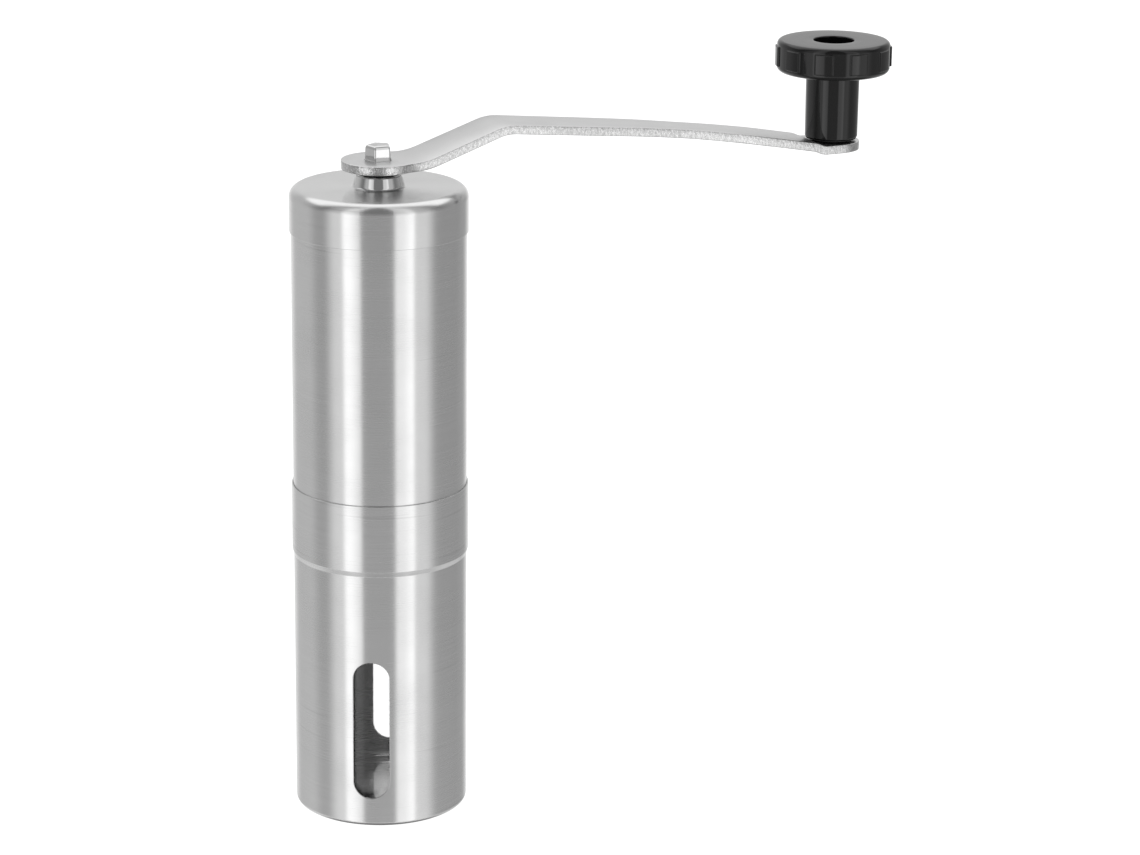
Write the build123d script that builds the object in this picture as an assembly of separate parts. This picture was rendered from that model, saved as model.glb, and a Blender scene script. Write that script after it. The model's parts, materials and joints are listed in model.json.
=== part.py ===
from build123d import *

import os
from math import radians, sin, tan

# A hand crank coffee grinder with conical ceramic burrs, in millimetres, +Z up.
# The origin is the centre of the flat base. At rest the crank arm points along +X.
# From the bottom up: a steel chamber with a clear liner catches the grounds, a steel
# tube plugged into it holds the burrs and the beans, a steel lid guides the shaft,
# and a flat crank arm with a plastic knob drops onto the shaft's five-sided end.

# Small roundings of turned and moulded edges
edge_break = 0.3
fine_edge = 0.1

# Sheet metal
tube_radius = 24.0          # outside of the hopper tube and of the chamber
sheet = 0.5
slip = 0.05                 # radial gap of every sliding or turning fit
seat = 0.1                  # axial gap between pieces that turn on each other
sleeve_wall = 0.4           # the sleeve and the lid's skirt are drawn thinner
sleeve_radius = tube_radius + slip + sleeve_wall

# Lower chamber: a drawn cup whose top is widened into a sleeve for the tube
base_edge_radius = 1.3
shoulder_bottom = 73.2
shoulder_top = 74.7
ledge_height = 75.0         # the hopper tube stands on this ledge
sleeve_top = 93.5
slot_width = 10.0
slot_length = 40.0
slot_bottom = 8.3
slot_direction = -117.6     # degrees about Z; a second slot is opposite
slot_edge_radius = 0.15
sheet_edge_radius = 0.12    # at the cut ends of the sleeve and of the lid's skirt
shoulder_radius = 0.6

# Clear liner that stops grounds falling out through the slots
liner_radius = tube_radius - sheet - 0.2
liner_wall = 1.2
liner_top = 74.4
liner_floor = 4.9
liner_floor_thickness = 1.4
liner_corner_radius = 4.5
liner_foot_width = 3.8
liner_foot_radius = 2.2

# Hopper tube and the burr housing fixed in its lower end
hopper_top = 174.2
housing_radius = tube_radius - sheet - slip
housing_bottom = 75.4
housing_top = 104.0
housing_lip = 0.8
feed_radius = 15.8          # narrow end of the housing's funnel
funnel_bottom = 92.5
pocket_radius = 19.05       # holds the outer burr
pocket_top = 90.0
hub_radius = 7.6
hub_bottom = 96.0
hub_top = 105.0
spoke_count = 3
spoke_width = 4.0
spoke_bottom = 98.0
spoke_top = 103.0

# Burrs: the gap between the two cones sets how fine the coffee is
burr_slope = 0.34           # how fast both cones widen downwards
burr_gap = 0.45             # radial gap at the middle setting
outer_burr_bottom = 77.3
outer_burr_mouth = 15.6     # inside radius at the bottom
outer_burr_throat = 87.0    # above this the ring flares open to take beans
outer_burr_entry = 15.2     # inside radius at the top
inner_burr_bottom = 74.5
inner_burr_shoulder = 88.0  # above this the cone steepens to pull beans in
inner_burr_top = 93.5
inner_burr_top_radius = 7.0
ring_inner_radius = 16.4    # retaining ring under the outer burr
ring_notches = 4
ring_notch_width = 3.0
ring_notch_depth = 1.2

# Drive shaft
shaft_radius = 4.0
shaft_shoulder = 182.1      # the crank arm sits on this
shaft_top = 189.1
drive_sides = 5
drive_radius = 4.0          # circle through the corners of the five-sided end
drive_corner_radius = 0.6
drive_draft = 0.93          # size of the top of the five-sided end against its foot
drive_turn = 17.0           # direction of one corner, in degrees
drive_dome_height = 0.5
drive_dome_inset = 0.3
drive_dome_radius = 1.0
flat_across = 6.0           # the two flats that carry the inner burr round
flat_bottom = 74.0
flat_top = 95.0
thread_radius = 2.95
thread_bottom = 62.0
thread_lead_in = 0.6

# Bushes, washers and the spring on the shaft
bush_outer = 5.95
bush_flange = 7.2
flange_thickness = 0.9
bush_depth = 4.0
thrust_washer_radius = 6.9
washer_thickness = 0.8
circlip_radius = 5.6
circlip_thickness = 0.8
circlip_gap = 3.0
groove_radius = 3.4
spring_wire = 0.4           # wire radius
spring_radius = 4.75
spring_turns = 6
spring_pocket_radius = 5.4  # the spring and both its washers fit in it

# Plastic core that carries the inner burr
core_radius = 8.0
core_top = 84.0
core_flange_radius = 12.0
core_bottom = 73.2
key_width = 3.0
key_radius = 10.0
key_top = 80.0

# Grind adjuster: a dial with a metal nut on the shaft's threaded end
dial_radius = 11.0
dial_height = 7.0
dial_grips = 12
dial_edge = 0.6
flute_radius = 1.4
flute_depth = 0.8
click_inner_radius = 7.0    # notches that the burr's core clicks into
click_outer_radius = 9.2
click_width = 1.0
click_depth = 0.5
thread_room = 0.5           # between the dial's hole and the thread
nut_across = 10.0
nut_height = 5.0
nut_floor = 1.0             # from the dial's bottom face to the nut

# Lid
lid_bottom = 165.0
lid_top = 177.2
lid_edge_radius = 2.75
collar_radius = 6.3         # at its top
collar_flare_radius = 7.1   # where the flared collar meets the lid's top
collar_edge_radius = 0.5
collar_bore = 5.6
collar_top = 180.6
collar_foot_radius = 0.9
lid_bush_flange = 8.5
lid_bush_flange_thickness = 1.2
lid_bush_drop = 0.6         # how far the bush stays below the collar's top

# Crank arm: a flat bar with one rise and a long droop
arm_thickness = 2.45
arm_seat_top = shaft_shoulder + arm_thickness
eye_radius = 10.3
eye_neck_radius = 14.0      # hollow curve where the eye meets the arm
arm_start_half_width = 8.3
arm_middle = 60.0
arm_middle_half_width = 7.4
arm_waist = 92.0
arm_waist_half_width = 6.3
arm_waist_radius = 60.0
arm_shoulder = 114.0        # from here the sides are straight
arm_end_radius = 8.1        # round end that carries the knob
arm_length = 138.1          # shaft axis to knob axis
rise_start = 10.8
rise_angle = 19.2           # degrees
crest = 34.5                # where the rise meets the long stretch, before rounding
droop_middle = (96.2, 186.8)
droop_knee = (129.9, 180.41)
droop_end = (132.2, 179.4)   # from here the plate is level under the knob
foot_bend_radius = 20.0
crest_bend_radius = 14.0
droop_bend_radius = 600.0
end_bend_radius = 4.0
arm_end_top = droop_end[1]
arm_rise_room = 20.0        # the plan outline is cut through a block this deep
press_gap = 0.02

# Knob and its pin
pin_radius = 3.0
pin_head_radius = 4.9
pin_head_thickness = 1.6
peen_radius = 4.4
peen_height = 0.8
pin_edge = 0.5
knob_washer_radius = 7.2     # at its top, under the knob's stem
knob_washer_foot = 5.1       # clears the arm's last bend
knob_washer_thickness = 1.0
knob_washer_rim = 0.25
stem_radius = 7.5
stem_draft = 0.1            # wider by this at the top
head_bottom = 199.2
head_top = 208.2
head_radius = 16.05
head_edge_top = 1.3
head_edge_bottom = 1.6
knob_bore = 5.75
knob_bore_depth = 8.5
stem_edge = 0.4
grip_count = 10
grip_proud = 0.5
grip_bottom = 200.8
grip_top = 206.7
grip_turn = -127.2          # direction of the middle of one grip, in degrees


def turned(*corners):
    """A solid of revolution about Z from (radius, height[, rounding]) corners."""
    points = [(corner[0], 0, corner[1]) for corner in corners]
    roundings = [corner[2] if len(corner) > 2 else 0 for corner in corners]
    outline = FilletPolyline(*points, radius=roundings, close=True)
    return revolve(make_face(outline), Axis.Z)


def ring(inner, outer, bottom, top, rounding=0.0):
    """A plain ring or tube about Z."""
    return turned(
        (inner, bottom, rounding),
        (outer, bottom, rounding),
        (outer, top, rounding),
        (inner, top, rounding),
    )


def bar(start_radius, end_radius, width, bottom, top, direction=0.0):
    """A straight radial block, turned about Z to the given direction."""
    block = Box(end_radius - start_radius, width, top - bottom)
    block = Pos((start_radius + end_radius) / 2, 0, (bottom + top) / 2) * block
    return Rot(0, 0, direction) * block


def around(count, make, first=0.0):
    """Pieces made by make(direction) at equal angles about Z."""
    return [make(first + 360 * index / count) for index in range(count)]


# --- Lower chamber ---

def on_window_rim(edge):
    """Whether an edge of the cup belongs to a window's outline on the outside."""
    middle = edge @ 0.5
    near = 0.01
    outside = abs(Vector(middle.X, middle.Y, 0).length - tube_radius) < near
    between = slot_bottom - near < middle.Z < slot_bottom + slot_length + near
    return outside and between and edge.length < slot_length


def chamber_shell():
    inside = tube_radius - sheet
    cup = turned(
        (0, 0),
        (tube_radius, 0, base_edge_radius),
        (tube_radius, shoulder_bottom, shoulder_radius),
        (sleeve_radius, shoulder_top, shoulder_radius),
        (sleeve_radius, sleeve_top, sheet_edge_radius),
        (tube_radius + slip, sleeve_top, sheet_edge_radius),
        (tube_radius + slip, ledge_height),
        (inside, ledge_height),
        (inside, sheet, base_edge_radius - sheet),
        (0, sheet),
    )
    middle = (0, 0, slot_bottom + slot_length / 2)
    outward = Vector(1, 0, 0).rotate(Axis.Z, slot_direction)
    across = Plane(origin=middle, x_dir=(0, 0, 1), z_dir=outward)
    slots = extrude(across * SlotOverall(slot_length, slot_width), 2 * tube_radius, both=True)
    windowed = cup - slots
    rims = [edge for edge in windowed.edges() if on_window_rim(edge)]
    return fillet(rims, slot_edge_radius)


def window_liner():
    foot_inside = liner_radius - liner_foot_width
    under_floor = liner_floor - liner_floor_thickness
    return turned(
        (0, under_floor),
        (foot_inside, under_floor),
        (foot_inside, sheet),
        (liner_radius, sheet, liner_foot_radius),
        (liner_radius, liner_top, edge_break),
        (liner_radius - liner_wall, liner_top, edge_break),
        (liner_radius - liner_wall, liner_floor, liner_corner_radius),
        (0, liner_floor),
    )


# --- Grinder body ---

def hopper_tube():
    return ring(tube_radius - sheet, tube_radius, ledge_height, hopper_top, fine_edge)


def burr_housing():
    funnel = turned(
        (housing_radius, housing_bottom),
        (housing_radius, housing_top),
        (housing_radius - housing_lip, housing_top),
        (feed_radius, funnel_bottom),
        (feed_radius, pocket_top),
        (pocket_radius, pocket_top),
        (pocket_radius, housing_bottom),
    )
    hub = Pos(0, 0, hub_bottom) * Cylinder(
        hub_radius, hub_top - hub_bottom, align=(Align.CENTER, Align.CENTER, Align.MIN)
    )
    reach = housing_radius - housing_lip / 2
    spokes = around(
        spoke_count,
        lambda direction: bar(0, reach, spoke_width, spoke_bottom, spoke_top, direction),
        first=90,
    )
    bore = Pos(0, 0, hub_bottom) * Cylinder(
        bush_outer + slip, hub_top - hub_bottom, align=(Align.CENTER, Align.CENTER, Align.MIN)
    )
    return funnel + hub + spokes - bore


def shaft_bush(face, outward):
    """A flanged bush in one end of the hub; outward is +1 at the top, -1 below."""
    bore = shaft_radius + slip
    inner_end = face - outward * bush_depth
    outer_end = face + outward * flange_thickness
    return turned(
        (bore, inner_end),
        (bush_outer, inner_end),
        (bush_outer, face),
        (bush_flange, face),
        (bush_flange, outer_end),
        (bore, outer_end),
    )


def outer_burr():
    throat = outer_burr_mouth - burr_slope * (outer_burr_throat - outer_burr_bottom)
    return turned(
        (outer_burr_mouth, outer_burr_bottom),
        (pocket_radius - slip, outer_burr_bottom, edge_break),
        (pocket_radius - slip, pocket_top, edge_break),
        (outer_burr_entry, pocket_top),
        (throat, outer_burr_throat),
    )


def burr_retaining_ring():
    top = outer_burr_bottom - seat
    body = ring(ring_inner_radius, pocket_radius - slip, housing_bottom, top)
    notches = around(
        ring_notches,
        lambda direction: bar(
            ring_inner_radius - 1,
            ring_inner_radius + ring_notch_depth,
            ring_notch_width,
            housing_bottom - 1,
            top + 1,
            direction,
        ),
        first=45,
    )
    return body - notches


# --- Drive shaft and what is fixed on it ---

upper_bush_top = hub_top + flange_thickness
lower_bush_bottom = hub_bottom - flange_thickness
thrust_washer_bottom = upper_bush_top + seat
circlip_bottom = thrust_washer_bottom + washer_thickness + slip
spring_top = lower_bush_bottom - seat - washer_thickness
spring_bottom = core_top + washer_thickness


def drive_outline():
    """The rounded pentagon of the shaft's end."""
    corners = RegularPolygon(drive_radius, drive_sides, rotation=drive_turn).vertices()
    return fillet(corners, drive_corner_radius)


def flatted(radius, across, bottom, top):
    """A round bar with two opposite flats."""
    height = top - bottom
    lower_centre = (Align.CENTER, Align.CENTER, Align.MIN)
    round_bar = Cylinder(radius, height, align=lower_centre)
    return Pos(0, 0, bottom) * (round_bar & Box(2 * radius, across, height, align=lower_centre))


def drive_shaft():
    rod = turned(
        (0, flat_top),
        (shaft_radius, flat_top),
        (shaft_radius, circlip_bottom - slip),
        (groove_radius, circlip_bottom - slip),
        (groove_radius, circlip_bottom + circlip_thickness + slip),
        (shaft_radius, circlip_bottom + circlip_thickness + slip),
        (shaft_radius, shaft_shoulder, edge_break),
        (0, shaft_shoulder),
    )
    threaded_end = turned(
        (0, thread_bottom),
        (thread_radius, thread_bottom, thread_lead_in),
        (thread_radius, flat_bottom),
        (0, flat_bottom),
    )
    flats = flatted(shaft_radius, flat_across, flat_bottom, flat_top)
    drive_height = shaft_top - shaft_shoulder
    small_end = Pos(0, 0, drive_height) * scale(drive_outline(), drive_draft)
    prism = loft([drive_outline(), small_end])
    dome = turned(
        (0, shaft_shoulder),
        (drive_radius, shaft_shoulder),
        (drive_radius - drive_dome_inset, shaft_top - drive_dome_height, drive_dome_radius),
        (0, shaft_top),
    )
    return rod + threaded_end + flats + (Pos(0, 0, shaft_shoulder) * prism & dome)


def shaft_circlip():
    body = ring(groove_radius + slip, circlip_radius, circlip_bottom, circlip_bottom + circlip_thickness)
    above = circlip_bottom + circlip_thickness + 1
    return body - bar(0, circlip_radius + 1, circlip_gap, circlip_bottom - 1, above)


def washer(bottom, outer):
    return ring(shaft_radius + slip, outer, bottom, bottom + washer_thickness, fine_edge)


def burr_spring():
    low = spring_bottom + spring_wire + slip
    height = spring_top - spring_bottom - 2 * (spring_wire + slip)
    path = Helix(height / spring_turns, height, spring_radius)
    section = Plane(origin=path @ 0, z_dir=path % 0) * Circle(spring_wire)
    return Pos(0, 0, low) * sweep(section, path)


# --- Inner burr ---

def key_bars(grow=0.0):
    """The two keys that lock the inner burr to its core."""
    return around(
        2,
        lambda direction: bar(
            core_radius - 2,
            key_radius + grow,
            key_width + 2 * grow,
            inner_burr_bottom,
            key_top + grow,
            direction,
        ),
    )


def inner_burr():
    widest = outer_burr_mouth - burr_gap
    shoulder = widest - burr_slope * (inner_burr_shoulder - outer_burr_bottom)
    cone = turned(
        (core_radius + slip, inner_burr_bottom),
        (widest, inner_burr_bottom, edge_break),
        (widest, outer_burr_bottom),
        (shoulder, inner_burr_shoulder),
        (inner_burr_top_radius, inner_burr_top, edge_break),
        (spring_pocket_radius, inner_burr_top),
        (spring_pocket_radius, core_top),
        (core_radius + slip, core_top),
    )
    return cone - key_bars(slip)


def burr_core():
    body = turned(
        (0, core_bottom),
        (core_flange_radius, core_bottom, edge_break),
        (core_flange_radius, inner_burr_bottom),
        (core_radius, inner_burr_bottom),
        (core_radius, core_top, edge_break),
        (0, core_top),
    )
    bore = flatted(shaft_radius + slip, flat_across + 2 * slip, core_bottom - 1, core_top + 1)
    return body + key_bars() - bore


# --- Grind adjuster ---

dial_top = core_bottom - seat
dial_bottom = dial_top - dial_height
nut_bottom = dial_bottom + nut_floor


def hex_block(across, bottom, top):
    outline = RegularPolygon(across / 2, 6, major_radius=False)
    return Pos(0, 0, bottom) * extrude(outline, top - bottom)


def adjuster_dial():
    body = ring(thread_radius + thread_room, dial_radius, dial_bottom, dial_top)
    body = chamfer(body.edges().filter_by(GeomType.CIRCLE).sort_by(SortBy.RADIUS)[-2:], dial_edge)
    flute = Cylinder(flute_radius, dial_height + 2)
    flute_centre = dial_radius + flute_radius - flute_depth
    middle = (dial_bottom + dial_top) / 2
    flutes = around(
        dial_grips,
        lambda direction: Rot(0, 0, direction) * Pos(flute_centre, 0, middle) * flute,
    )
    clicks = around(
        dial_grips,
        lambda direction: bar(
            click_inner_radius,
            click_outer_radius,
            click_width,
            dial_top - click_depth,
            dial_top + 1,
            direction,
        ),
        first=180 / dial_grips,
    )
    pocket = hex_block(nut_across + 2 * slip, dial_bottom - 1, nut_bottom + nut_height)
    return body - flutes - clicks - pocket


def adjuster_nut():
    blank = hex_block(nut_across, nut_bottom, nut_bottom + nut_height)
    bore = Pos(0, 0, nut_bottom + nut_height / 2) * Cylinder(thread_radius + slip, nut_height + 1)
    return blank - bore


# --- Lid ---

def lid_cap():
    skirt_inside = tube_radius + slip
    return turned(
        (skirt_inside, lid_bottom, sheet_edge_radius),
        (sleeve_radius, lid_bottom, sheet_edge_radius),
        (sleeve_radius, lid_top, lid_edge_radius),
        (collar_flare_radius, lid_top, collar_foot_radius),
        (collar_radius, collar_top, collar_edge_radius),
        (collar_bore, collar_top, sheet_edge_radius),
        (collar_bore, lid_top - sheet),
        (skirt_inside, lid_top - sheet, lid_edge_radius - sleeve_wall),
    )


def lid_bush():
    bore = shaft_radius + slip
    flange_top = lid_top - sheet
    return turned(
        (bore, flange_top - lid_bush_flange_thickness),
        (lid_bush_flange, flange_top - lid_bush_flange_thickness, edge_break),
        (lid_bush_flange, flange_top),
        (collar_bore - slip, flange_top),
        (collar_bore - slip, collar_top - lid_bush_drop),
        (bore, collar_top - lid_bush_drop),
    )


# --- Crank ---

def arm_side():
    """The arm's long section: its upper edge in lines and arcs, one plate thick."""
    slope = tan(radians(rise_angle))
    crest_height = arm_seat_top + slope * (crest - rise_start)
    corners = (
        (-2 * eye_radius, arm_seat_top),
        (rise_start, arm_seat_top),
        (crest, crest_height),
        droop_middle,
        droop_knee,
        droop_end,
        (arm_length + 2 * arm_end_radius, droop_end[1]),
    )
    bends = (foot_bend_radius, crest_bend_radius, droop_bend_radius, end_bend_radius, end_bend_radius)
    upper_edge = FilletPolyline(*[(x, 0, z) for x, z in corners], radius=bends)
    return make_face(offset(upper_edge, arm_thickness, side=Side.LEFT))


def arm_plan():
    """The arm seen from above: an eye round the shaft, a taper and a round end."""
    half_widths = (
        (0, arm_start_half_width),
        (arm_middle, arm_middle_half_width),
        (arm_waist, arm_waist_half_width),
        (arm_shoulder, arm_end_radius),
        (arm_length, arm_end_radius),
    )
    near_side = [(x, -y) for x, y in half_widths]
    taper = Polygon(*near_side, *reversed(half_widths), align=None)
    waist = taper.vertices().filter_by_position(Axis.X, arm_waist - 1, arm_waist + 1)
    taper = fillet(waist, arm_waist_radius)
    outline = Circle(eye_radius) + taper + Pos(arm_length, 0) * Circle(arm_end_radius)
    eye_necks = outline.vertices().filter_by_position(Axis.X, 1, eye_radius)
    return fillet(eye_necks, eye_neck_radius)


def crank_arm():
    strip = extrude(arm_side(), 2 * eye_radius, both=True)
    blank = extrude(Pos(0, 0, arm_end_top - arm_rise_room) * arm_plan(), 2 * arm_rise_room)
    drive_hole = extrude(Pos(0, 0, shaft_shoulder - 1) * offset(drive_outline(), slip), arm_thickness + 2)
    pin_hole = Pos(arm_length, 0, arm_end_top) * Cylinder(pin_radius + press_gap, 4 * arm_thickness)
    return (strip & blank) - drive_hole - pin_hole


def knob_pin():
    """A shouldered pin: peened under the arm, with a round head inside the knob."""
    neck_bottom = arm_end_top - arm_thickness - press_gap
    head_underside = head_top - knob_bore_depth + seat
    return Pos(arm_length, 0, 0) * turned(
        (0, neck_bottom - peen_height),
        (peen_radius, neck_bottom - peen_height, pin_edge),
        (peen_radius, neck_bottom),
        (pin_radius, neck_bottom),
        (pin_radius, head_underside),
        (pin_head_radius, head_underside, fine_edge),
        (pin_head_radius, head_underside + pin_head_thickness, pin_edge),
        (0, head_underside + pin_head_thickness),
    )


def knob_washer():
    top = arm_end_top + knob_washer_thickness
    dished = turned(
        (pin_radius + slip, arm_end_top),
        (knob_washer_foot, arm_end_top),
        (knob_washer_radius, top - knob_washer_rim, fine_edge),
        (knob_washer_radius, top, fine_edge),
        (pin_radius + slip, top),
    )
    return Pos(arm_length, 0, 0) * dished


# --- Knob ---

def crank_knob():
    stem_bottom = arm_end_top + knob_washer_thickness + seat
    body = turned(
        (pin_radius + slip, stem_bottom),
        (stem_radius, stem_bottom, stem_edge),
        (stem_radius + stem_draft, head_bottom),
        (head_radius, head_bottom, head_edge_bottom),
        (head_radius, head_top, head_edge_top),
        (knob_bore, head_top, edge_break),
        (knob_bore, head_top - knob_bore_depth),
        (pin_radius + slip, head_top - knob_bore_depth),
    )
    pitch = 360 / grip_count
    wide = 2 * (head_radius + grip_proud) * sin(radians(pitch / 4))
    band = ring(head_radius - 1, head_radius + grip_proud, grip_bottom, grip_top, edge_break)
    grips = around(
        grip_count,
        lambda direction: band & bar(
            head_radius - 2, head_radius + 2, wide, grip_bottom - 1, grip_top + 1, direction
        ),
        first=grip_turn,
    )
    return Pos(arm_length, 0, 0) * (body + grips)


nodes = {
    "chamber_shell": chamber_shell(),
    "window_liner": window_liner(),
    "hopper_tube": hopper_tube(),
    "burr_housing": burr_housing(),
    "upper_shaft_bush": shaft_bush(hub_top, 1),
    "lower_shaft_bush": shaft_bush(hub_bottom, -1),
    "outer_burr": outer_burr(),
    "burr_retaining_ring": burr_retaining_ring(),
    "drive_shaft": drive_shaft(),
    "shaft_circlip": shaft_circlip(),
    "thrust_washer": washer(thrust_washer_bottom, thrust_washer_radius),
    "spring_top_washer": washer(spring_top, spring_pocket_radius - slip),
    "burr_spring": burr_spring(),
    "inner_burr": inner_burr(),
    "burr_core": burr_core(),
    "spring_foot_washer": washer(core_top, spring_pocket_radius - slip),
    "adjuster_dial": adjuster_dial(),
    "adjuster_nut": adjuster_nut(),
    "lid_cap": lid_cap(),
    "lid_bush": lid_bush(),
    "crank_arm": crank_arm(),
    "knob_pin": knob_pin(),
    "knob_washer": knob_washer(),
    "crank_knob": crank_knob(),
}

os.makedirs("parts", exist_ok=True)
for name, shape in nodes.items():
    export_step(shape, f"parts/{name}.step")
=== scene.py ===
import json
from math import atan2, cos, pi, radians, sin, sqrt, tan

import bmesh
import bpy
from mathutils import Matrix, Vector


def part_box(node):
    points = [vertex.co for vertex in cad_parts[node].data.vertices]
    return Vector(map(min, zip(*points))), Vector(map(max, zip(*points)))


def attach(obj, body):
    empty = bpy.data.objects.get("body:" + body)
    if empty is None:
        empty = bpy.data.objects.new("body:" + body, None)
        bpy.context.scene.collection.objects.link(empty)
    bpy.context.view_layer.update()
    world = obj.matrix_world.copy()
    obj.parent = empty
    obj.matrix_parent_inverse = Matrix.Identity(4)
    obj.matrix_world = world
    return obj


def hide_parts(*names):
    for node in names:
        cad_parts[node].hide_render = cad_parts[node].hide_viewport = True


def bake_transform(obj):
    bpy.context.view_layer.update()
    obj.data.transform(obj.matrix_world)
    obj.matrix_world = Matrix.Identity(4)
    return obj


# A hand crank coffee grinder: a brushed steel tube with a windowed chamber, a lid, a
# flat plated crank arm with a black knob, and ceramic burrs inside.
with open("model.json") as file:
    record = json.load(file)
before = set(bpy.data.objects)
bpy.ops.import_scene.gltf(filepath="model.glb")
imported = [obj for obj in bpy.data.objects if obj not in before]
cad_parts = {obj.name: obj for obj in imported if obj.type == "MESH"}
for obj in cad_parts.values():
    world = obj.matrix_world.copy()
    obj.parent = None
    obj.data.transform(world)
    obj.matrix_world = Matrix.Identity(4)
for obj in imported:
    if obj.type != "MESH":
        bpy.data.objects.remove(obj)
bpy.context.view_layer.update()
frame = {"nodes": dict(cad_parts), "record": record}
scene = bpy.context.scene
MM = 0.001


# --- Mesh helpers ---

ON_AXIS = 0.001 * MM        # a radius below this is a single point on the axis
SAME_POINT = 0.0005 * MM
NEARLY_FLAT = radians(0.2)
SHARP_EDGE = radians(30)


def rounded(corners, closed=True, arc_steps=8):
    """An outline's points; each (x, y, radius) corner becomes an arc."""
    points = []
    last = len(corners) - 1
    for index, corner in enumerate(corners):
        here = Vector(corner[:2])
        radius = corner[2] if len(corner) > 2 else 0
        if radius == 0 or (not closed and index in (0, last)):
            points.append(here)
            continue
        back = (Vector(corners[index - 1][:2]) - here).normalized()
        ahead = (Vector(corners[(index + 1) % len(corners)][:2]) - here).normalized()
        half = back.angle(ahead) / 2
        centre = here + (back + ahead).normalized() * radius / sin(half)
        start = here + back * radius / tan(half)
        finish = here + ahead * radius / tan(half)
        for step in range(arc_steps + 1):
            chord = start.lerp(finish, step / arc_steps)
            points.append(centre + (chord - centre).normalized() * radius)
    return points


def divided(points, longest, closed=True):
    """The same outline with no stretch longer than the given length."""
    result = []
    pairs = zip(points, points[1:] + points[:1] if closed else points[1:])
    for start, finish in pairs:
        count = max(1, round((finish - start).length / longest + 0.49))
        result += [start.lerp(finish, step / count) for step in range(count)]
    if not closed:
        result.append(points[-1])
    return result


def turned_mesh(name, outline, segments, ripple, closed=True):
    """A mesh of revolution about Z; ripple(angle, radius, height) is added to the radius."""
    vertices, rings, faces = [], [], []
    for radius, height in outline:
        if radius < ON_AXIS:
            rings.append([len(vertices)] * segments)
            vertices.append((0, 0, height))
            continue
        rings.append(list(range(len(vertices), len(vertices) + segments)))
        for index in range(segments):
            angle = 2 * pi * index / segments
            reach = radius + ripple(angle, radius, height)
            vertices.append((reach * cos(angle), reach * sin(angle), height))
    following = rings[1:] + rings[:1] if closed else rings[1:]
    for here, there in zip(rings, following):
        for index in range(segments):
            after = (index + 1) % segments
            corners = (here[index], here[after], there[after], there[index])
            face = tuple(dict.fromkeys(corners))
            if len(face) > 2:
                faces.append(face)
    mesh = bpy.data.meshes.new(name)
    mesh.from_pydata(vertices, [], faces)
    return mesh


def softened_mesh(name, node, width, steps):
    """A clean copy of a CAD node's mesh whose sharp edges are rounded off."""
    shape = bmesh.new()
    shape.from_mesh(frame["nodes"][node].data)
    bmesh.ops.remove_doubles(shape, verts=shape.verts, dist=SAME_POINT)
    bmesh.ops.dissolve_limit(
        shape, angle_limit=NEARLY_FLAT, verts=shape.verts, edges=shape.edges
    )
    sharp = [
        edge for edge in shape.edges
        if len(edge.link_faces) == 2 and edge.calc_face_angle(0) > SHARP_EDGE
    ]
    bmesh.ops.bevel(
        shape, geom=sharp, offset=width, offset_type="OFFSET", segments=steps,
        profile=0.5, affect="EDGES", clamp_overlap=True, material=-1,
    )
    mesh = bpy.data.meshes.new(name)
    shape.to_mesh(mesh)
    shape.free()
    return mesh


def add_piece(name, mesh, body, materials, replaced, place=(0, 0, 0), crease=35):
    """A finished piece that stands for a CAD node, and rides on a body if one is given."""
    for material in materials:
        mesh.materials.append(material)
    mesh.shade_smooth()
    mesh.set_sharp_from_angle(angle=radians(crease))
    piece = bpy.data.objects.new(name, mesh)
    piece.location = place
    scene.collection.objects.link(piece)
    if body:
        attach(piece, body)
    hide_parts(replaced)
    return piece


# --- Material helpers ---

def new_material(name, colour, roughness, metallic=0.0):
    """A material, its node tree and its Principled shader."""
    material = bpy.data.materials.new(name)
    material.use_nodes = True
    shader = material.node_tree.nodes["Principled BSDF"]
    shader.inputs["Base Color"].default_value = (*colour, 1)
    shader.inputs["Roughness"].default_value = roughness
    shader.inputs["Metallic"].default_value = metallic
    return material, material.node_tree, shader


def add_node(tree, kind, inputs=None, **settings):
    """A node whose inputs are values or other nodes' sockets."""
    made = tree.nodes.new(kind)
    for setting, value in settings.items():
        setattr(made, setting, value)
    for socket, value in (inputs or {}).items():
        if isinstance(value, bpy.types.NodeSocket):
            tree.links.new(value, made.inputs[socket])
        else:
            made.inputs[socket].default_value = value
    return made


def sum_up(tree, operation, *values):
    """One math node's result."""
    inputs = dict(enumerate(values))
    return add_node(tree, "ShaderNodeMath", inputs, operation=operation).outputs[0]


def noise(tree, vector, scale, detail=3.0, roughness=0.6):
    inputs = {"Vector": vector, "Scale": scale, "Detail": detail, "Roughness": roughness}
    return add_node(tree, "ShaderNodeTexNoise", inputs).outputs["Fac"]


def spread(tree, value, low, high, from_low=0.3, from_high=0.7, curve="LINEAR"):
    """A value stretched onto the range low to high; most noise lies within 0.3 to 0.7."""
    inputs = {
        "Value": value, "From Min": from_low, "From Max": from_high,
        "To Min": low, "To Max": high,
    }
    made = add_node(tree, "ShaderNodeMapRange", inputs, interpolation_type=curve)
    return made.outputs["Result"]


def position(tree):
    return add_node(tree, "ShaderNodeTexCoord").outputs["Object"]


def stretched(tree, vector, scale):
    inputs = {"Vector": vector, "Scale": scale}
    return add_node(tree, "ShaderNodeMapping", inputs).outputs["Vector"]


def add_bump(tree, shader, height, distance, strength=1.0):
    inputs = {"Height": height, "Distance": distance, "Strength": strength}
    bump = add_node(tree, "ShaderNodeBump", inputs)
    tree.links.new(bump.outputs["Normal"], shader.inputs["Normal"])


def grey(tree, value):
    """A colour from one brightness."""
    inputs = {"Red": value, "Green": value, "Blue": value}
    return add_node(tree, "ShaderNodeCombineColor", inputs).outputs["Color"]


# --- Materials ---

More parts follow.
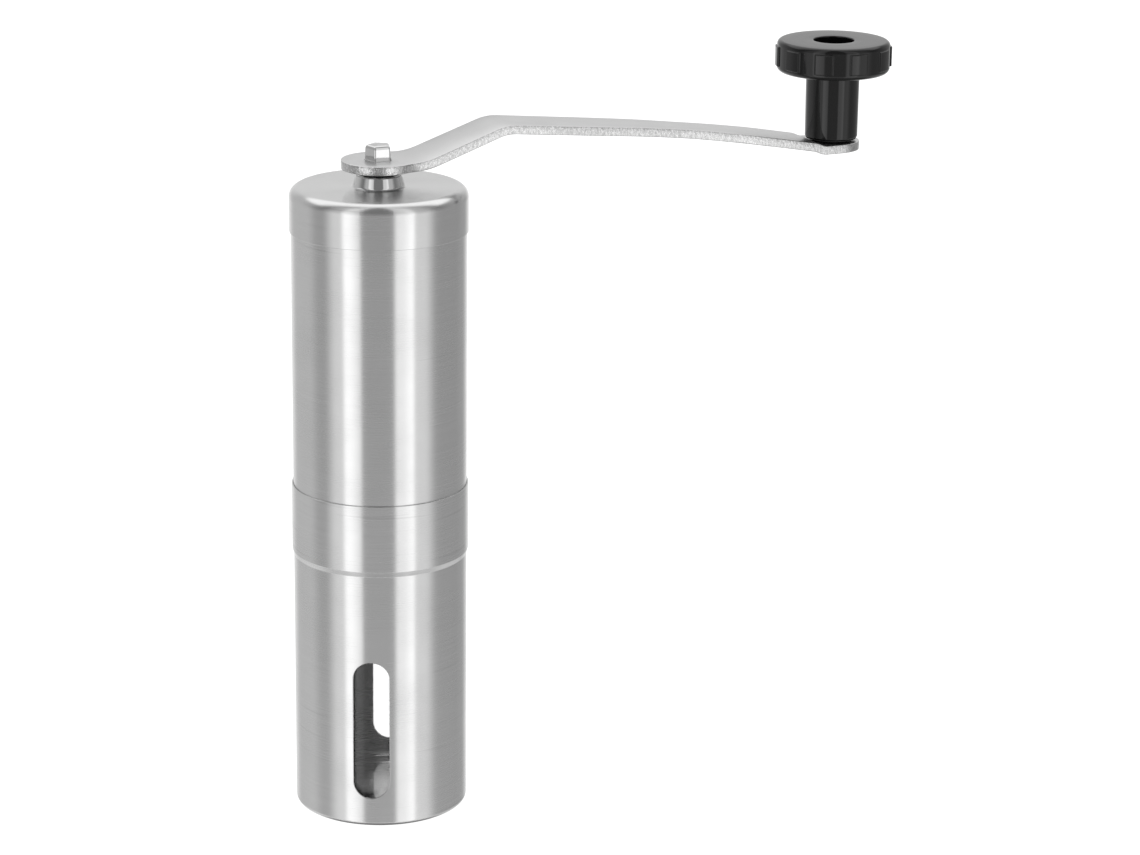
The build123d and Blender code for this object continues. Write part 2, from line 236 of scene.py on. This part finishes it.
FINE_LINES = (28, 28, 8000)      # noise per metre in X, in Y and across the lines
BROAD_LINES = (8, 8, 3000)
SCRATCHES = (25, 25, 900)
POLISH_FADE = 0.4 * MM
BRUSHED_ANISOTROPY = 0.9
ACROSS_THE_LINES = 0.25          # a quarter turn of the blur


def brushed_steel(name, brightness, roughness, polished_radius=0.0):
    """Steel brushed round the Z axis, and polished inside a radius: lines, smudges, scratches."""
    material, tree, shader = new_material(name, (brightness,) * 3, roughness, 1.0)
    point = position(tree)
    # Height less radius gives lines that run round the tube and round a flat top alike.
    parts = add_node(tree, "ShaderNodeSeparateXYZ", {"Vector": point}).outputs
    flat = add_node(tree, "ShaderNodeVectorMath", {0: point, 1: (1, 1, 0)}, operation="MULTIPLY")
    reach = add_node(tree, "ShaderNodeVectorMath", {0: flat.outputs[0]}, operation="LENGTH")
    along = sum_up(tree, "SUBTRACT", parts["Z"], reach.outputs["Value"])
    lines_at = add_node(
        tree, "ShaderNodeCombineXYZ", {"X": parts["X"], "Y": parts["Y"], "Z": along}
    ).outputs[0]
    fine = noise(tree, stretched(tree, lines_at, FINE_LINES), 1.0, 3.0)
    broad = noise(tree, stretched(tree, lines_at, BROAD_LINES), 1.0, 2.0)
    clouds = noise(tree, point, 55.0, 3.0)
    scratch_at = add_node(
        tree, "ShaderNodeMapping",
        {"Vector": point, "Rotation": (0.5, 0.9, 0.3), "Scale": SCRATCHES},
    ).outputs["Vector"]
    scratches = spread(tree, noise(tree, scratch_at, 1.0, 1.0), 0, 1, 0.68, 0.76)
    line_mix = sum_up(tree, "ADD", fine, sum_up(tree, "MULTIPLY", broad, 0.5))
    wear = spread(tree, clouds, -0.02, 0.03)
    rough = spread(tree, line_mix, roughness - 0.04, roughness + 0.04, 0.5, 1.0)
    rough = sum_up(tree, "ADD", rough, wear)
    outer = polished_radius + POLISH_FADE
    brushed = spread(tree, reach.outputs["Value"], 0.35, 1.0, polished_radius, outer)
    rough = sum_up(tree, "MULTIPLY", rough, brushed)
    tree.links.new(rough, shader.inputs["Roughness"])
    tone = spread(tree, line_mix, brightness - 0.03, brightness + 0.02, 0.5, 1.0)
    tone = sum_up(tree, "SUBTRACT", tone, sum_up(tree, "MULTIPLY", wear, 0.8))
    tone = sum_up(tree, "SUBTRACT", tone, sum_up(tree, "MULTIPLY", scratches, 0.06))
    tree.links.new(grey(tree, tone), shader.inputs["Base Color"])
    shader.inputs["Anisotropic"].default_value = BRUSHED_ANISOTROPY
    shader.inputs["Anisotropic Rotation"].default_value = ACROSS_THE_LINES
    tangent = add_node(tree, "ShaderNodeTangent", direction_type="RADIAL", axis="Z")
    tree.links.new(tangent.outputs[0], shader.inputs["Tangent"])
    add_bump(tree, shader, fine, 0.002 * MM, 0.5)
    return material


def plated_plate():
    """The arm's flat faces: satin nickel plate with a fine grain."""
    material, tree, shader = new_material("plated_plate", (0.66,) * 3, 0.32, 1.0)
    point = position(tree)
    grain = noise(tree, point, 2600.0, 3.0)
    clouds = noise(tree, point, 90.0, 3.0)
    tree.links.new(spread(tree, clouds, 0.30, 0.38), shader.inputs["Roughness"])
    speckle = spread(tree, grain, -0.012, 0.012)
    tone = sum_up(tree, "ADD", speckle, spread(tree, clouds, 0.66, 0.71))
    tree.links.new(grey(tree, tone), shader.inputs["Base Color"])
    add_bump(tree, shader, grain, 0.004 * MM)
    return material


def punched_edge():
    """The arm's punched edges: rough torn metal under bright plating."""
    material, tree, shader = new_material("punched_edge", (0.75,) * 3, 0.2, 1.0)
    point = position(tree)
    tears = noise(tree, stretched(tree, point, (1500, 1500, 1100)), 1.0, 4.0, 0.7)
    lumps = noise(tree, point, 1500.0, 3.0)
    patches = noise(tree, point, 45.0, 2.0)
    height = sum_up(tree, "ADD", tears, sum_up(tree, "MULTIPLY", lumps, 1.5))
    tree.links.new(spread(tree, tears, 0.05, 0.2), shader.inputs["Roughness"])
    dulled = spread(tree, patches, 0, 0.12)
    tone = sum_up(tree, "SUBTRACT", spread(tree, tears, 0.56, 0.88), dulled)
    tree.links.new(grey(tree, tone), shader.inputs["Base Color"])
    add_bump(tree, shader, height, 0.07 * MM)
    return material


def bright_metal(name, brightness, roughness, lines=6000.0):
    """Turned and polished metal with faint turning marks."""
    material, tree, shader = new_material(name, (brightness,) * 3, roughness, 1.0)
    point = position(tree)
    marks = noise(tree, stretched(tree, point, (200, 200, lines)), 1.0, 3.0)
    clouds = noise(tree, point, 300.0, 3.0)
    rough = spread(tree, clouds, roughness * 0.8, roughness * 1.4)
    tree.links.new(rough, shader.inputs["Roughness"])
    tone = spread(tree, clouds, brightness - 0.04, brightness + 0.02)
    tree.links.new(grey(tree, tone), shader.inputs["Base Color"])
    add_bump(tree, shader, marks, 0.001 * MM)
    return material


def moulded_plastic(name, brightness, roughness, grain=0.0):
    """Moulded plastic: a slight orange peel, dust and handling marks."""
    material, tree, shader = new_material(name, (brightness,) * 3, roughness)
    point = position(tree)
    peel = noise(tree, point, 380.0, 2.0)
    clouds = noise(tree, point, 120.0, 4.0)
    specks = spread(tree, noise(tree, point, 2400.0, 1.0), 0, 1, 0.74, 0.80)
    worn = spread(tree, clouds, roughness, roughness * 1.6)
    rough = sum_up(tree, "MULTIPLY_ADD", specks, 0.2, worn)
    tree.links.new(rough, shader.inputs["Roughness"])
    handled = spread(tree, clouds, brightness * 0.9, brightness * 1.15)
    tone = sum_up(tree, "MULTIPLY_ADD", specks, 0.02, handled)
    tree.links.new(grey(tree, tone), shader.inputs["Base Color"])
    texture = sum_up(tree, "MULTIPLY", noise(tree, point, 3000.0), grain)
    height = sum_up(tree, "ADD", peel, texture)
    add_bump(tree, shader, height, 0.006 * MM)
    return material


def clear_plastic():
    """The chamber's liner: clear plastic, a little grey, with fine dust inside."""
    material, tree, shader = new_material("clear_plastic", (0.97,) * 3, 0.03)
    point = position(tree)
    dust = spread(tree, noise(tree, point, 1500.0, 1.0), 0, 1, 0.78, 0.82)
    haze = noise(tree, point, 60.0, 3.0)
    dusty = sum_up(tree, "MULTIPLY", dust, 0.3)
    rough = sum_up(tree, "ADD", spread(tree, haze, 0.01, 0.05), dusty)
    tree.links.new(rough, shader.inputs["Roughness"])
    shader.inputs["IOR"].default_value = 1.49
    shader.inputs["Transmission Weight"].default_value = 1.0
    add_bump(tree, shader, haze, 0.02 * MM)
    return material


def ceramic():
    """The burrs' white ceramic: matt, slightly grainy, faintly mottled."""
    material, tree, shader = new_material("burr_ceramic", (0.72,) * 3, 0.5)
    point = position(tree)
    grain = noise(tree, point, 3500.0, 3.0)
    clouds = noise(tree, point, 200.0, 3.0)
    tree.links.new(spread(tree, grain, 0.42, 0.6), shader.inputs["Roughness"])
    tree.links.new(grey(tree, spread(tree, clouds, 0.66, 0.76)), shader.inputs["Base Color"])
    add_bump(tree, shader, grain, 0.01 * MM)
    return material


materials = {
    "steel_brushed": brushed_steel("steel_brushed", 0.75, 0.24),
    "steel_plated": plated_plate(),
    "steel_bright": bright_metal("steel_bright", 0.70, 0.07),
    "spring_steel": bright_metal("spring_steel", 0.55, 0.2, 9000.0),
    "brass_insert": bright_metal("brass_insert", 0.6, 0.25),
    "clear_plastic": clear_plastic(),
    "black_gloss": moulded_plastic("black_gloss", 0.005, 0.05),
    "black_plastic": moulded_plastic("black_plastic", 0.016, 0.42, 0.6),
    "black_nylon": moulded_plastic("black_nylon", 0.010, 0.5, 0.3),
    "white_nylon": moulded_plastic("white_nylon", 0.6, 0.35, 0.2),
    "burr_ceramic": ceramic(),
}
slot_of = {part["node"]: part["material_slot"] for part in frame["record"]["subparts"]}
for node, thing in frame["nodes"].items():
    thing.data.materials.clear()
    thing.data.materials.append(materials[slot_of[node]])
POLISHED_COLLAR = 7.2 * MM
lid_steel = brushed_steel("lid_steel", 0.75, 0.22, polished_radius=POLISHED_COLLAR)
frame["nodes"]["lid_cap"].data.materials[0] = lid_steel


# --- Crank arm ---

ARM_EDGE = 0.22 * MM
ARM_FACE_UPRIGHT = 0.75     # a face whose normal is less upright is on the punched edge


def crank_arm():
    mesh = softened_mesh("crank_arm_plate", "crank_arm", ARM_EDGE, steps=3)
    add_piece(
        "crank_arm_plate", mesh, "crank",
        [materials["steel_plated"], punched_edge()], "crank_arm",
    )
    for face in mesh.polygons:
        face.material_index = 0 if abs(face.normal.z) > ARM_FACE_UPRIGHT else 1


crank_arm()


# --- Knob ---

KNOB_STEM_RADIUS = 7.5 * MM
KNOB_STEM_TOP_RADIUS = 7.6 * MM
KNOB_HEAD_RADIUS = 16.05 * MM
KNOB_HEAD_HEIGHT = 9.0 * MM
KNOB_BORE_RADIUS = 5.75 * MM
KNOB_BORE_DEPTH = 8.5 * MM
KNOB_PIN_HOLE = 3.05 * MM
KNOB_SEGMENTS = 720
PAD_COUNT = 10
PAD_HEIGHTS = (1.6 * MM, 7.5 * MM)     # above the head's underside
PAD_TURN = radians(-127.2)
PAD_EDGE = 0.28 * MM
PAD_EDGE_STEPS = 6
PAD_INNERMOST = KNOB_HEAD_RADIUS - 0.9 * MM     # nearer the axis is the bore's wall


def crank_knob():
    low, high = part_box("crank_knob")
    axis_x = (low.x + high.x) / 2
    proud = high.y - KNOB_HEAD_RADIUS
    head_bottom = high.z - KNOB_HEAD_HEIGHT
    pad_low = head_bottom + PAD_HEIGHTS[0]
    pad_high = head_bottom + PAD_HEIGHTS[1]
    steps = [PAD_EDGE * step / PAD_EDGE_STEPS for step in range(PAD_EDGE_STEPS + 2)]
    heights = [pad_low + step for step in steps] + [pad_high - step for step in reversed(steps)]
    corners = [
        (KNOB_PIN_HOLE, low.z),
        (KNOB_STEM_RADIUS, low.z, 0.4 * MM),
        (KNOB_STEM_TOP_RADIUS, head_bottom, 0.25 * MM),
        (KNOB_HEAD_RADIUS, head_bottom, 1.55 * MM),
        *[(KNOB_HEAD_RADIUS, height) for height in heights],
        (KNOB_HEAD_RADIUS, high.z, 1.3 * MM),
        (KNOB_BORE_RADIUS, high.z, 0.35 * MM),
        (KNOB_BORE_RADIUS, high.z - KNOB_BORE_DEPTH),
        (KNOB_PIN_HOLE, high.z - KNOB_BORE_DEPTH),
    ]
    outline = divided(rounded(corners), 4 * MM)
    pitch = 2 * pi / PAD_COUNT

    def step_up(inside):
        """0 outside a pad, 1 on it, with a rounded edge between."""
        share = max(0.0, min(1.0, inside / PAD_EDGE + 0.5))
        return share * share * (3 - 2 * share)

    def pads(angle, radius, height):
        if radius < PAD_INNERMOST or not pad_low < height < pad_high:
            return 0
        off = (angle - PAD_TURN + pitch / 2) % pitch - pitch / 2
        across = (pitch / 4 - abs(off)) * KNOB_HEAD_RADIUS
        upright = min(height - pad_low, pad_high - height)
        target = KNOB_HEAD_RADIUS + proud - radius
        return target * step_up(across) * step_up(upright - PAD_EDGE / 2)

    mesh = turned_mesh("knob_moulding", outline, KNOB_SEGMENTS, pads)
    add_piece(
        "knob_moulding", mesh, "knob",
        [materials["black_gloss"]], "crank_knob", (axis_x, 0, 0), 50,
    )


crank_knob()


# --- Drive shaft ---

SHAFT_SEGMENTS = 360
SHAFT_RADIUS = 4.0 * MM
SHAFT_SHOULDER = 182.1 * MM
DRIVE_RADIUS = 4.0 * MM
DRIVE_CORNER = 0.6 * MM
DRIVE_FOOT = 0.86            # shares of the drive's radius, at the shoulder and by the tip
DRIVE_DRAFT = 0.93
DRIVE_TURN = radians(17)
DRIVE_SIDES = 5
FLAT_HALF = 3.0 * MM
FLAT_SPAN = (74.0 * MM, 95.0 * MM)
THREAD_RADIUS = 2.95 * MM
THREAD_PITCH = 1.0 * MM
THREAD_DEPTH = 0.5 * MM
THREAD_INNERMOST = THREAD_RADIUS - 0.7 * MM     # nearer the axis is the plain end face
GROOVE_RADIUS = 3.4 * MM
GROOVE_SPAN = (106.8 * MM, 107.7 * MM)
NUDGE = 0.03 * MM            # a short step of height where the outline changes its kind


def drive_reach(angle):
    """Distance from the axis to the rounded pentagon's outline."""
    half = pi / DRIVE_SIDES
    apothem = DRIVE_RADIUS * cos(half)
    centre = (apothem - DRIVE_CORNER) / cos(half)
    off_corner = (angle - DRIVE_TURN + half) % (2 * half) - half
    meet = atan2(DRIVE_CORNER * sin(half), centre + DRIVE_CORNER * cos(half))
    if abs(off_corner) > meet:
        return apothem / cos(half - abs(off_corner))
    along = centre * cos(off_corner)
    return along + sqrt(DRIVE_CORNER ** 2 - (centre * sin(off_corner)) ** 2)


def shaft_shape(angle, radius, height):
    """What the flats, the thread and the five-sided end change on a round shaft."""
    if height > SHAFT_SHOULDER + 0.02 * MM:
        return radius * (drive_reach(angle) / DRIVE_RADIUS - 1)
    if FLAT_SPAN[0] - 0.001 * MM < height < FLAT_SPAN[1] and radius > THREAD_RADIUS:
        return min(radius, FLAT_HALF / max(abs(sin(angle)), 0.01)) - radius
    if height < FLAT_SPAN[0] and radius > THREAD_INNERMOST:
        turn = (height / THREAD_PITCH - angle / (2 * pi)) % 1
        return -THREAD_DEPTH * (1 - abs(2 * turn - 1)) * (radius / THREAD_RADIUS)
    return 0


def drive_shaft():
    low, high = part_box("drive_shaft")
    lower = divided(rounded([
        (0, low.z),
        (THREAD_RADIUS, low.z, 0.6 * MM),
        (THREAD_RADIUS, FLAT_SPAN[0] - NUDGE),
    ], closed=False), 0.12 * MM, closed=False)
    middle = divided(rounded([
        (SHAFT_RADIUS, FLAT_SPAN[0]),
        (SHAFT_RADIUS, FLAT_SPAN[1] - NUDGE),
        (SHAFT_RADIUS, FLAT_SPAN[1]),
        (SHAFT_RADIUS, GROOVE_SPAN[0]),
        (GROOVE_RADIUS, GROOVE_SPAN[0]),
        (GROOVE_RADIUS, GROOVE_SPAN[1]),
        (SHAFT_RADIUS, GROOVE_SPAN[1]),
        (SHAFT_RADIUS, SHAFT_SHOULDER, 0.3 * MM),
        (DRIVE_RADIUS * DRIVE_FOOT, SHAFT_SHOULDER),
    ], closed=False), 4 * MM, closed=False)
    dome = DRIVE_RADIUS * DRIVE_DRAFT
    tip = rounded([
        (DRIVE_RADIUS, SHAFT_SHOULDER + NUDGE),
        (dome, high.z - 0.55 * MM, 1.1 * MM),
        (0, high.z),
    ], closed=False, arc_steps=10)
    tip = divided(tip, 0.5 * MM, closed=False)
    outline = lower + middle + tip
    mesh = turned_mesh("shaft_bar", outline, SHAFT_SEGMENTS, shaft_shape, closed=False)
    add_piece(
        "shaft_bar", mesh, "drive_shaft",
        [materials["steel_bright"]], "drive_shaft", crease=28,
    )


drive_shaft()


# --- Burrs ---

BURR_SEGMENTS = 480
BURR_STEP = 0.3 * MM
BURR_EDGE = 0.3 * MM
FINE_TEETH = 48
FINE_LEAN = 28.0             # turns per metre of height
FINE_DEPTH = 0.7 * MM
FINE_SPAN = (75.0 * MM, 82.5 * MM)
COARSE_LEAN = 34.0
COARSE_SPAN = (82.0 * MM, 93.2 * MM)
INNER_COARSE_TEETH = 8
INNER_COARSE_DEPTH = 2.6 * MM
OUTER_COARSE_TEETH = 10
OUTER_COARSE_DEPTH = 1.6 * MM
TEETH_FADE = 0.8 * MM


def burr_teeth(count, lean, depth, low, high, inward=False):
    """Saw teeth that lean round a cone, from low to high; inward ones are inside a ring."""
    def teeth(angle, radius, height):
        if not low <= height <= high:
            return 0
        turn = (count * (angle / (2 * pi) + lean * (height - low))) % 1
        fade = min(1, (height - low) / TEETH_FADE, (high - height) / TEETH_FADE)
        cut = depth * turn * fade
        return cut if inward else -cut
    return teeth


def inner_burr():
    low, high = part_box("inner_burr")
    core_radius = 8.05 * MM
    core_top = 84.0 * MM
    bore = 5.4 * MM
    corners = [
        (core_radius, low.z),
        (high.x, low.z, BURR_EDGE),
        (high.x, 77.3 * MM),
        (11.51 * MM, 88.0 * MM),
        (7.0 * MM, high.z, BURR_EDGE),
        (bore, high.z),
        (bore, core_top),
        (core_radius, core_top),
    ]
    fine = burr_teeth(FINE_TEETH, FINE_LEAN, FINE_DEPTH, *FINE_SPAN)
    coarse = burr_teeth(INNER_COARSE_TEETH, COARSE_LEAN, INNER_COARSE_DEPTH, *COARSE_SPAN)
    innermost = 6.2 * MM
    full_depth = 3 * MM
    pocket_radius = 8.2 * MM
    pocket_top = 84.5 * MM

    def cut(angle, radius, height):
        """The bore and the core's pocket stay smooth, and the teeth grow with the radius."""
        if radius < innermost or (radius < pocket_radius and height < pocket_top):
            return 0
        limit = min(1.0, (radius - innermost) / full_depth)
        return fine(angle, radius, height) + coarse(angle, radius, height) * limit

    outline = divided(rounded(corners), BURR_STEP)
    mesh = turned_mesh("inner_burr_cone", outline, BURR_SEGMENTS, cut)
    add_piece(
        "inner_burr_cone", mesh, "inner_burr",
        [materials["burr_ceramic"]], "inner_burr", crease=25,
    )


def outer_burr():
    low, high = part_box("outer_burr")
    corners = [
        (15.6 * MM, low.z),
        (high.x, low.z, BURR_EDGE),
        (high.x, high.z, BURR_EDGE),
        (15.2 * MM, high.z),
        (12.3 * MM, 87.0 * MM),
    ]
    end = 0.2 * MM
    fine = burr_teeth(
        FINE_TEETH, -FINE_LEAN, FINE_DEPTH, low.z + end, FINE_SPAN[1], inward=True
    )
    coarse = burr_teeth(
        OUTER_COARSE_TEETH, -COARSE_LEAN, OUTER_COARSE_DEPTH,
        COARSE_SPAN[0], high.z - end, inward=True,
    )
    toothed_radius = 16.2 * MM

    def cut(angle, radius, height):
        """The outside stays smooth."""
        if radius > toothed_radius:
            return 0
        return fine(angle, radius, height) + coarse(angle, radius, height)

    outline = divided(rounded(corners), BURR_STEP)
    mesh = turned_mesh("outer_burr_ring", outline, BURR_SEGMENTS, cut)
    add_piece(
        "outer_burr_ring", mesh, "grinder_body",
        [materials["burr_ceramic"]], "outer_burr", crease=25,
    )


inner_burr()
outer_burr()


# --- Spring with closed ends ---

def burr_spring():
    low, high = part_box("burr_spring")
    wire = 0.4 * MM
    closed_rise = 2.2 * wire
    radius = high.x - wire
    turns = 7.0
    closed_turns = 0.8
    path = bpy.data.curves.new("burr_spring_coil", "CURVE")
    path.dimensions = "3D"
    path.bevel_depth = wire
    path.bevel_resolution = 6
    path.use_fill_caps = True
    steps = 40
    count = round(turns * steps) + 1
    line = path.splines.new("POLY")
    line.points.add(count - 1)
    start = low.z + wire
    rise = high.z - low.z - 2 * wire
    for index, point in enumerate(line.points):
        turn = index / steps
        share = (turn - closed_turns) / (turns - 2 * closed_turns)
        share = max(0.0, min(1.0, share))
        first_end = min(turn, closed_turns) / closed_turns
        last_end = max(0.0, turn - turns + closed_turns) / closed_turns
        closed = (first_end + last_end) / 2
        height = start + closed * closed_rise + share * (rise - closed_rise)
        angle = 2 * pi * turn
        point.co = (radius * cos(angle), radius * sin(angle), height, 1)
    shaper = bpy.data.objects.new("burr_spring_path", path)
    mesh = bpy.data.meshes.new_from_object(shaper)
    mesh.name = "burr_spring_coil"
    bpy.data.objects.remove(shaper)
    piece = add_piece(
        "burr_spring_coil", mesh, None,
        [materials["spring_steel"]], "burr_spring",
    )
    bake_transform(piece)


burr_spring()


# --- Moulded and turned inner pieces with softened edges ---

SOFTENED = {
    "burr_housing": ("grinder_body", 0.25 * MM),
    "upper_shaft_bush": ("grinder_body", 0.1 * MM),
    "lower_shaft_bush": ("grinder_body", 0.1 * MM),
    "burr_retaining_ring": ("grinder_body", 0.15 * MM),
    "burr_core": ("inner_burr", 0.15 * MM),
    "adjuster_dial": ("adjuster", 0.18 * MM),
    "adjuster_nut": ("adjuster", 0.12 * MM),
    "lid_bush": ("lid", 0.12 * MM),
}

for node, (body, width) in SOFTENED.items():
    soft = softened_mesh(node + "_soft", node, width, steps=2)
    add_piece(node + "_soft", soft, body, [materials[slot_of[node]]], node)


# --- Camera, studio and floor ---

CAMERA_PLACE = Vector((-0.35176, -0.91636, 0.39998))
CAMERA_HEADING = radians(24.068)     # clockwise from +Y, seen from above
CAMERA_PITCH = radians(16.511)       # downwards
CAMERA_ROLL = radians(0.623)
CAMERA_LENS = 116.84


def add_camera():
    ahead = Vector((sin(CAMERA_HEADING), cos(CAMERA_HEADING), 0)) * cos(CAMERA_PITCH)
    ahead.z = -sin(CAMERA_PITCH)
    level = Vector((cos(CAMERA_HEADING), -sin(CAMERA_HEADING), 0))
    upward = level.cross(ahead)
    right = level * cos(CAMERA_ROLL) + upward * sin(CAMERA_ROLL)
    top = upward * cos(CAMERA_ROLL) - level * sin(CAMERA_ROLL)
    turn = Matrix((right, top, -ahead)).transposed().to_4x4()
    data = bpy.data.cameras.new("camera")
    data.lens = CAMERA_LENS
    data.sensor_width = 36
    data.clip_start = 0.05
    data.clip_end = 20
    camera = bpy.data.objects.new("camera", data)
    camera.matrix_world = Matrix.Translation(CAMERA_PLACE) @ turn
    scene.collection.objects.link(camera)
    scene.camera = camera


# The studio: a plain grey room with upright light panels round the object. Each panel is
# (direction, half width, softness, brightness), in degrees to the right of the studio's
# front as seen from there, and its brightness is added to the room's.
STUDIO_FRONT = atan2(CAMERA_PLACE.y, CAMERA_PLACE.x)
ROOM = 0.57
PANELS = (
    (-36, 12, 5, 0.42),
    (-50, 18, 20, 0.30),
    (33, 13, 6, 0.50),
    (55, 16, 20, 0.30),
    (-125, 30, 20, 0.11),
    (105, 22, 16, -0.03),
    (180, 26, 28, 0.35),
)
# The room and its panels look different by elevation: each zone is (gain, lift), and each
# pair of degrees above the horizon is where one zone fades into the next.
FLOOR_ZONE = (0.7, 0.38)
PANEL_ZONE = (1.6, -0.52)
DARK_ZONE_IN_FRONT = (1.1, -0.42)
DARK_ZONE_BEHIND = (0.8, 0.0)
DARKEST = 0.03
UNDERNEATH = 0.2
UNDERNEATH_ENDS = (-60, -42)
PANEL_ZONE_STARTS = (-32, -24)
DARK_ZONE_STARTS = (-4, 4)
CEILING = 1.25               # over the back of the room only
CEILING_STARTS = (30, 40)
BACKDROP = 1.1               # what the camera sees past the floor


def add_studio():
    world = bpy.data.worlds.new("studio")
    scene.world = world
    world.use_nodes = True
    tree = world.node_tree
    tree.nodes.clear()
    towards = (cos(STUDIO_FRONT), sin(STUDIO_FRONT), 0)
    rightward = (-sin(STUDIO_FRONT), cos(STUDIO_FRONT), 0)
    direction = add_node(tree, "ShaderNodeTexCoord").outputs["Generated"]

    def reach_along(axis):
        inputs = {0: direction, 1: axis}
        made = add_node(tree, "ShaderNodeVectorMath", inputs, operation="DOT_PRODUCT")
        return made.outputs["Value"]

    ahead = reach_along(towards)
    angle = sum_up(tree, "ARCTAN2", reach_along(rightward), ahead)
    light = ROOM
    for middle, half, soft, brightness in PANELS:
        off = sum_up(tree, "SUBTRACT", angle, radians(middle))
        off = sum_up(tree, "WRAP", off, pi, -pi)
        off = sum_up(tree, "ABSOLUTE", off)
        inner, outer = radians(half - soft / 2), radians(half + soft / 2)
        panel = spread(tree, off, brightness, 0.0, inner, outer, "SMOOTHSTEP")
        light = sum_up(tree, "ADD", panel, light)
    height = add_node(tree, "ShaderNodeSeparateXYZ", {"Vector": direction}).outputs["Z"]

    def above(low, high):
        """0 below the first elevation and 1 above the second, in degrees."""
        low, high = sin(radians(low)), sin(radians(high))
        return spread(tree, height, 0, 1, low, high, "SMOOTHSTEP")

    def blend(factor, first, second):
        inputs = {"Factor": factor, "A": first, "B": second}
        return add_node(tree, "ShaderNodeMix", inputs, data_type="FLOAT").outputs[0]

    def levels(gain, lift):
        """The room and its panels, brightened or darkened."""
        return sum_up(tree, "MAXIMUM", sum_up(tree, "MULTIPLY_ADD", light, gain, lift), DARKEST)

    in_front = spread(tree, ahead, 0, 1, -0.5, 0.2)
    behind = spread(tree, ahead, 0, 1, 0.05, -0.15)
    near_floor = blend(above(*UNDERNEATH_ENDS), UNDERNEATH, levels(*FLOOR_ZONE))
    panels = levels(*PANEL_ZONE)
    dark_room = blend(in_front, levels(*DARK_ZONE_BEHIND), levels(*DARK_ZONE_IN_FRONT))
    overhead = sum_up(tree, "MULTIPLY", above(*CEILING_STARTS), behind)
    glow = blend(above(*PANEL_ZONE_STARTS), near_floor, panels)
    glow = blend(above(*DARK_ZONE_STARTS), glow, dark_room)
    glow = blend(overhead, glow, CEILING)
    seen = add_node(tree, "ShaderNodeLightPath").outputs["Is Camera Ray"]
    inputs = {"Strength": blend(seen, glow, BACKDROP), "Color": (1, 1, 1, 1)}
    background = add_node(tree, "ShaderNodeBackground", inputs)
    output = add_node(tree, "ShaderNodeOutputWorld")
    tree.links.new(background.outputs[0], output.inputs["Surface"])


def add_floor():
    """A plain white floor, which leaves the polished metal's reflections to the studio."""
    half = 3.0
    below = -0.05 * MM
    mesh = bpy.data.meshes.new("floor")
    corners = [(-half, -half), (half, -half), (half, half), (-half, half)]
    mesh.from_pydata([(x, y, below) for x, y in corners], [], [(0, 1, 2, 3)])
    material, tree, shader = new_material("floor_white", (0.8,) * 3, 0.9)
    paper = noise(tree, position(tree), 400.0, 2.0)
    tree.links.new(grey(tree, spread(tree, paper, 0.29, 0.31)), shader.inputs["Base Color"])
    shader.inputs["Specular IOR Level"].default_value = 0.0
    shader.inputs["Emission Color"].default_value = (1, 1, 1, 1)
    shader.inputs["Emission Strength"].default_value = 0.98
    mesh.materials.append(material)
    floor = bpy.data.objects.new("floor", mesh)
    floor.visible_glossy = False
    scene.collection.objects.link(floor)


add_camera()
add_studio()
add_floor()
scene.view_settings.view_transform = "Standard"
